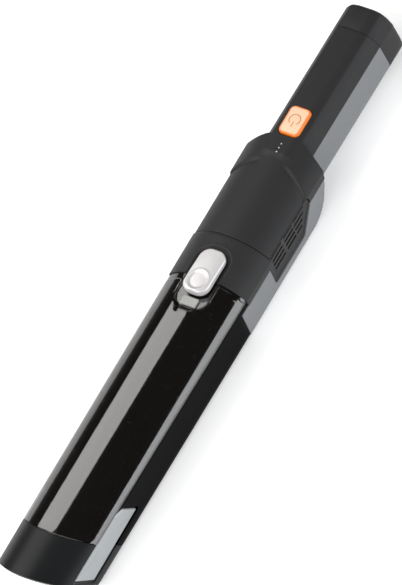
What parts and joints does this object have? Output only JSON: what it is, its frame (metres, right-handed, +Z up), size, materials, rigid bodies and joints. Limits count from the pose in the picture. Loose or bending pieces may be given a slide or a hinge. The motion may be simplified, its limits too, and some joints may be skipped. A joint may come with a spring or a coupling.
{
  "type": "handheld vacuum",
  "caption": "Slim cordless hand vacuum with a slanted nozzle, smoked dust cup, vented motor housing, release and power buttons and a straight handle.",
  "frame": {"origin": "under the middle of the overall length, on the plane of the flat belly", "axes": "+X along the body from the nozzle to the handle's end cap, +Z up through the crown that carries the buttons, +Y to the body's left flank seen from behind the handle"},
  "size_m": [0.47, 0.0612, 0.052],
  "materials": {
    "dark_shell": "fine satin texture",
    "grey_shell": "fine satin texture",
    "nozzle_plastic": "matte",
    "smoked_cup": "glossy smoked transparent plastic",
    "gloss_black": "high gloss",
    "silver_button": "silver satin lacquer",
    "orange_button": "satin",
    "lamp_lens": "frosted silver",
    "inner_black": "satin",
    "rubber": "matte",
    "foam": "open foam",
    "steel": "bright",
    "motor_metal": "cast",
    "white_plastic": "satin",
    "filter_paper": "pleated paper",
    "circuit_board": "solder mask",
    "cell_jacket": "shrink film"
  },
  "bodies": {
    "housing": {"collar": "dark_shell", "upper_shell": "dark_shell", "lower_shell": "grey_shell", "end_cap": "dark_shell", "charging_socket": "inner_black", "inlet_grille": "inner_black", "cup_seal": "rubber", "release_pin": "steel", "release_spring": "steel", "vent_panel_left": "dark_shell", "vent_panel_right": "dark_shell", "exhaust_foam_left": "foam", "exhaust_foam_right": "foam", "shell_screw_1_left": "steel", "shell_screw_1_right": "steel", "shell_screw_2_left": "steel", "shell_screw_2_right": "steel", "fan_shroud": "inner_black", "motor_stator": "steel", "motor_bracket_front": "motor_metal", "motor_bracket_rear": "motor_metal", "bearing_front": "steel", "bearing_rear": "steel", "motor_mount_1": "rubber", "motor_mount_2": "rubber", "control_board": "circuit_board", "power_switch": "inner_black", "battery_light_pipe": "white_plastic", "battery_cell_1": "cell_jacket", "battery_cell_2": "cell_jacket", "battery_cell_3": "cell_jacket", "pack_holder_front": "white_plastic", "pack_holder_rear": "white_plastic", "cap_screw_1": "steel", "cap_screw_2": "steel"},
    "rotor": {"motor_shaft": "steel", "impeller": "white_plastic", "rotor_magnet": "motor_metal"},
    "release_button": {"release_button": "silver_button"},
    "power_button": {"power_button": "orange_button"},
    "dust_cup": {"dust_cup": "smoked_cup", "cup_tray": "gloss_black", "nozzle": "nozzle_plastic", "inlet_duct": "inner_black", "cup_catch": "lamp_lens", "flap_pin": "steel", "flap_spring": "steel", "lamp_lens_left": "lamp_lens", "lamp_lens_right": "lamp_lens", "lamp_board_left": "circuit_board", "lamp_board_right": "circuit_board"},
    "inlet_flap": {"inlet_flap": "rubber"},
    "filter": {"filter_screen": "inner_black", "hepa_filter": "filter_paper", "filter_ring": "rubber"}
  },
  "joints": [
    {"name": "cup_pull", "type": "slide", "parent": "housing", "child": "dust_cup", "axis": [-1, 0, 0], "range_m": [0, 0.16]},
    {"name": "filter_pull", "type": "slide", "parent": "dust_cup", "child": "filter", "axis": [1, 0, 0], "range_m": [0, 0.096]},
    {"name": "flap_hinge", "type": "hinge", "parent": "dust_cup", "child": "inlet_flap", "pos_m": [-0.10438, 0, 0.0405], "axis": [0, -1, 0], "range_deg": [0, 35], "stiffness_Nm_per_rad": 0.002, "springref_deg": -28.65},
    {"name": "release_press", "type": "hinge", "parent": "housing", "child": "release_button", "pos_m": [0.024, 0, 0.045], "axis": [0, -1, 0], "range_deg": [0, 3], "stiffness_Nm_per_rad": 2.5},
    {"name": "power_press", "type": "slide", "parent": "housing", "child": "power_button", "axis": [0, 0, -1], "range_m": [0, 0.0012], "stiffness_N_per_m": 800},
    {"name": "fan_spin", "type": "hinge", "parent": "housing", "child": "rotor", "pos_m": [0.06, 0, 0.0245], "axis": [1, 0, 0], "continuous": true}
  ],
  "couplings": [
    {"joint": "filter_pull", "follows": "cup_pull", "ratio": 0.6}
  ]
}
